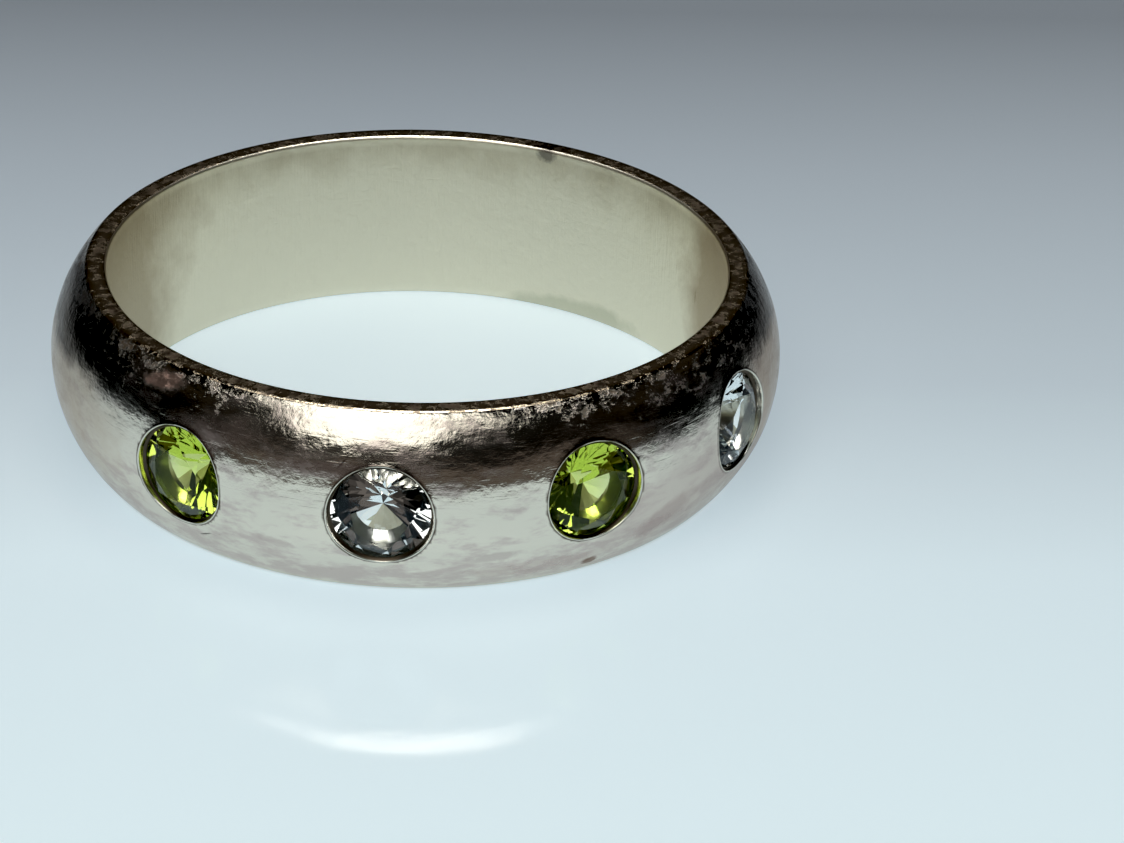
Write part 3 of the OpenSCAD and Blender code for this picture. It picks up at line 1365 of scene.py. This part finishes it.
@dataclass
class Studio:
    """The pale glossy floor, the soft lights, the dim room and the camera."""

    section: Section
    frame_px: tuple[int, int] = (1124, 843)
    focal_px: float = 3192.9
    distance: float = 86.39
    azimuth: float = -27.35
    elevation: float = 26.604
    roll: float = -0.728
    ring_px: Pair = (417.6, 341.3)
    sensor_mm: float = 36.0
    clip_m: Pair = (0.001, 10.0)
    # The floor's radius in metres, and the flats round it
    floor_m: float = 0.9
    floor_sides: int = 128
    # Its gloss, and how much of its colour it gives off as painted light
    floor_roughness: float = 0.06
    floor_ior: float = 1.22
    floor_painted_glow: float = 0.79
    # The graded floor, darker towards the back as painted falloff of light: where its fading
    # starts and ends behind the ring, and its colours
    painted_falloff_mm: Pair = (-20.0, 32.0)
    painted_falloff: tuple[tuple[float, str], ...] = (
        (0.0, "D8E9EF"),
        (0.24, "D1E1E8"),
        (0.44, "B6C3CB"),
        (0.73, "9EA8B0"),
        (1.0, "7C838A"),
    )
    # It is a little darker close round the band: a painted contact shadow
    shaded_mm: Pair = (9.0, 11.2)
    shaded: str = "9FB0BA"
    shaded_share: float = 0.25
    # It has one colour inside the band, which hides where that ends: a painted pool of light,
    # paler than the graded floor there
    painted_pool_mm: Pair = (8.0, 9.0)
    inside: str = "CFDEE3"
    # Where it darkens beyond the photo's frame, to the sides and to the front and back
    dusk_across_mm: Pair = (24.0, 54.0)
    dusk_along_mm: Pair = (33.0, 52.0)
    # The dusk is painted shade on the floor's far parts
    dusk: str = "24272A"
    # The room's colours from the horizon to the zenith, behind the ring and before it
    behind: tuple[tuple[float, str], ...] = (
        (0.0, "0C0D0D"),
        (0.39, "141414"),
        (0.44, "453E34"),
        (0.5, "453E34"),
        (0.6, "0C0D0D"),
        (1.0, "1E1E1F"),
    )
    before: tuple[tuple[float, str], ...] = (
        (0.0, "3A3530"),
        (0.1, "6A625C"),
        (0.2, "4A4440"),
        (0.35, "0C0D0D"),
        (1.0, "0C0D0D"),
    )
    # Cosines from the camera's side: the room is dimmer away from straight behind the ring,
    # and turns from its colours behind to those before
    dimming: tuple[float, float, float, float] = (-0.9, -0.2, 1.0, 0.35)
    turning: Pair = (0.2, 0.7)
    # What the camera sees over the floor
    backdrop: str = "A9B2BA"

    def build(self) -> None:
        """Makes everything that isn't part of the ring."""
        self.make_camera()
        self.make_floor()
        for box in BOXES:
            self.make_light(box)
        self.make_room()

    def outward(self, azimuth: float, elevation: float) -> Vector:
        """The way from the ring to something at an azimuth and elevation, in degrees."""
        a, e = math.radians(azimuth), math.radians(elevation)
        return Vector((math.sin(a) * math.cos(e), -math.cos(a) * math.cos(e), math.sin(e)))

    def make_camera(self) -> None:
        """Puts the camera where the photo was taken from.

        It looks at the ring, is rolled about that line, and is then turned so that the
        ring's centre falls on its pixel of the frame.
        """
        width, height = self.frame_px
        data = bpy.data.cameras.new("camera")
        camera = bpy.data.objects.new("camera", data)
        bpy.context.scene.collection.objects.link(camera)
        data.sensor_width = self.sensor_mm
        data.lens = self.focal_px / width * data.sensor_width
        data.clip_start, data.clip_end = self.clip_m
        back = self.outward(self.azimuth, self.elevation)
        look = (-back).to_track_quat("-Z", "Y").to_matrix()
        roll = Matrix.Rotation(math.radians(-self.roll), 3, "Z")
        ring = Vector((self.ring_px[0] - width / 2, height / 2 - self.ring_px[1], -self.focal_px))
        aim = Vector((0, 0, -1)).rotation_difference(ring.normalized()).to_matrix()
        turned = (look @ roll @ aim.inverted()).to_4x4()
        centre = Vector((0, 0, self.section.half * MM))
        camera.matrix_world = Matrix.Translation(centre + back * self.distance * MM) @ turned
        bpy.context.scene.camera = camera

    def make_floor(self) -> None:
        """Lays a wide glossy pale sheet under the ring."""
        deselect()
        bpy.ops.mesh.primitive_circle_add(
            vertices=self.floor_sides, radius=self.floor_m, fill_type="NGON", location=(0, 0, 0)
        )
        floor = bpy.context.object
        floor.name = "floor"
        material = bpy.data.materials.new("floor_gloss")
        tree = empty_tree(material)
        colour = self.floor_colour(tree)
        # The sheet gives off some of its colour as painted light, which keeps the shadows
        # under and beside the band pale
        shader = add_node(
            tree,
            "BsdfPrincipled",
            {"Base Color": colour, "Emission Color": colour},
            {
                "Roughness": self.floor_roughness,
                "IOR": self.floor_ior,
                "Emission Strength": self.floor_painted_glow,
            },
        )
        add_node(tree, "OutputMaterial", {"Surface": shader})
        floor.data.materials.append(material)

    def floor_colour(self, tree: Tree) -> Socket:
        """Grades the floor from its pale front to its grey back as painted falloff of light, and
        paints a contact shadow round the band, a pool of light inside it and shade at its far
        edges.

        Args:
            tree: The floor's node tree.

        Returns:
            The colour.
        """
        add = partial(add_node, tree)
        place = place_in_mm(tree)
        along, across = (
            add("VectorMath", {0: place}, {1: way}, out="Value", operation="DOT_PRODUCT")
            for way in (self.outward(self.azimuth + turn, 0) for turn in (180, 90))
        )
        away = add("VectorMath", {0: place}, out="Value", operation="LENGTH")
        # Painted falloff of light: the floor darkens towards the back
        behind = add("MapRange", {"Value": along}, span(*self.painted_falloff_mm))
        graded = self.with_stops(add("ValToRGB", {0: behind}), self.painted_falloff)
        fading = span(*self.shaded_mm, self.shaded_share, 0.0)
        painted_contact_shadow = add("MapRange", {"Value": away}, fading, **SOFT)
        # A painted pool of light on the floor inside the band
        inside = add("MapRange", {"Value": away}, span(*self.painted_pool_mm, 1.0, 0.0))
        # Painted shade that darkens the floor's far parts
        dusks = []
        for distance, reach in ((across, self.dusk_across_mm), (along, self.dusk_along_mm)):
            centred = add("Math", {0: distance}, operation="ABSOLUTE")
            dusks.append(add("MapRange", {"Value": centred}, span(*reach), **SOFT))
        dusk = add("Math", dict(enumerate(dusks)), operation="MAXIMUM")
        coats = ((painted_contact_shadow, self.shaded), (inside, self.inside), (dusk, self.dusk))
        return layered(tree, graded, coats)

    def make_light(self, box: SoftBox) -> None:
        """Hangs one soft box facing the ring.

        Args:
            box: The soft box.
        """
        data = bpy.data.lights.new(box.name, "AREA")
        data.shape = "ELLIPSE"
        halves = (box.reach * math.tan(math.radians(half)) for half in box.half_angles)
        data.size, data.size_y = (2 * half for half in halves)
        area = math.pi / 4 * data.size * data.size_y
        data.energy = box.radiance * math.pi * area
        data.color = srgb(box.colour)[:3]
        light = bpy.data.objects.new(box.name, data)
        bpy.context.scene.collection.objects.link(light)
        out = self.outward(self.azimuth + box.azimuth, box.elevation)
        turn = (-out).to_track_quat("-Z", "Y").to_matrix().to_4x4()
        light.matrix_world = Matrix.Translation(out * box.reach) @ turn
        light.visible_camera = False
        light.visible_diffuse = box.lights_floor

    def make_room(self) -> None:
        """Surrounds the stage with a dim room.

        Behind the ring it has one brown band, which its upper edge reflects. In front it is
        paler near the floor. The camera sees a plain backdrop instead.
        """
        world = bpy.data.worlds.new("room")
        bpy.context.scene.world = world
        tree = empty_tree(world)
        add = partial(add_node, tree)
        way = add("TexCoord", out="Generated")
        up = add("SeparateXYZ", {0: way}, out=2)
        front = {1: self.outward(self.azimuth, 0)}
        facing = add("VectorMath", {0: way}, front, out="Value", operation="DOT_PRODUCT")
        dim = add("MapRange", {"Value": facing}, span(*self.dimming))
        ahead = add("MapRange", {"Value": facing}, span(*self.turning))
        behind, before = (
            self.with_stops(add("ValToRGB", {0: up}), stops) for stops in (self.behind, self.before)
        )
        far_side = add("Background", {"Color": behind, "Strength": dim})
        near_side = add("Background", {"Color": before})
        room = add("MixShader", {0: ahead, 1: far_side, 2: near_side})
        backdrop = add("Background", values={"Color": srgb(self.backdrop)})
        seen = add("LightPath", out="Is Camera Ray")
        add("OutputWorld", {"Surface": add("MixShader", {0: seen, 1: room, 2: backdrop})})

    @staticmethod
    def with_stops(colour: Socket, stops: Sequence[tuple[float, str]]) -> Socket:
        """Fills in the stops of a colour ramp.

        Args:
            colour: The ramp's output.
            stops: Values from 0 to 1 and their colours, in order.

        Returns:
            The same output.
        """
        elements = colour.node.color_ramp.elements
        while len(elements) < len(stops):
            elements.new(1.0)
        for element, (where, shade) in zip(elements, stops):
            element.position = where
            element.color = srgb(shade)
        return colour


def bore_radius(record: dict) -> float:
    """The finger hole's radius in millimetres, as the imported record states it."""
    mounts = {mount["name"]: mount for mount in record["mounts"]}
    return mounts["finger_hole"]["dims"]["r_mm"]


def set_tones(black: float = 0.006) -> None:
    """Shows colours as they are, but with the deep shadows printed black as in the photo.

    Args:
        black: The linear light that is shown as black.
    """
    view = bpy.context.scene.view_settings
    view.view_transform = "Standard"
    view.use_curve_mapping = True
    view.curve_mapping.black_level = (black, black, black)
    view.curve_mapping.update()


def main() -> None:
    """Loads the frame, models and dresses the ring, and sets the stage."""
    logging.basicConfig(level=logging.INFO, format="%(name)s: %(message)s")
    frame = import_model()
    low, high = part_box("band")
    section = Section(bore_r=bore_radius(frame["record"]), width=round((high.z - low.z) / MM, 3))
    cut = Cut(crown_r=section.crown_r)

    band = Band(section, cut).build()
    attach(band, BODY)
    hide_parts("band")
    log.info("%s: %d faces", band.name, len(band.data.polygons))
    for stone, place in Stones(section, cut).build():
        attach(stone, BODY)
        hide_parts(place.node)
        log.info("%s: %d faces", stone.name, len(stone.data.polygons))

    Studio(section).build()
    set_tones()


if __name__ == "__main__":
    main()
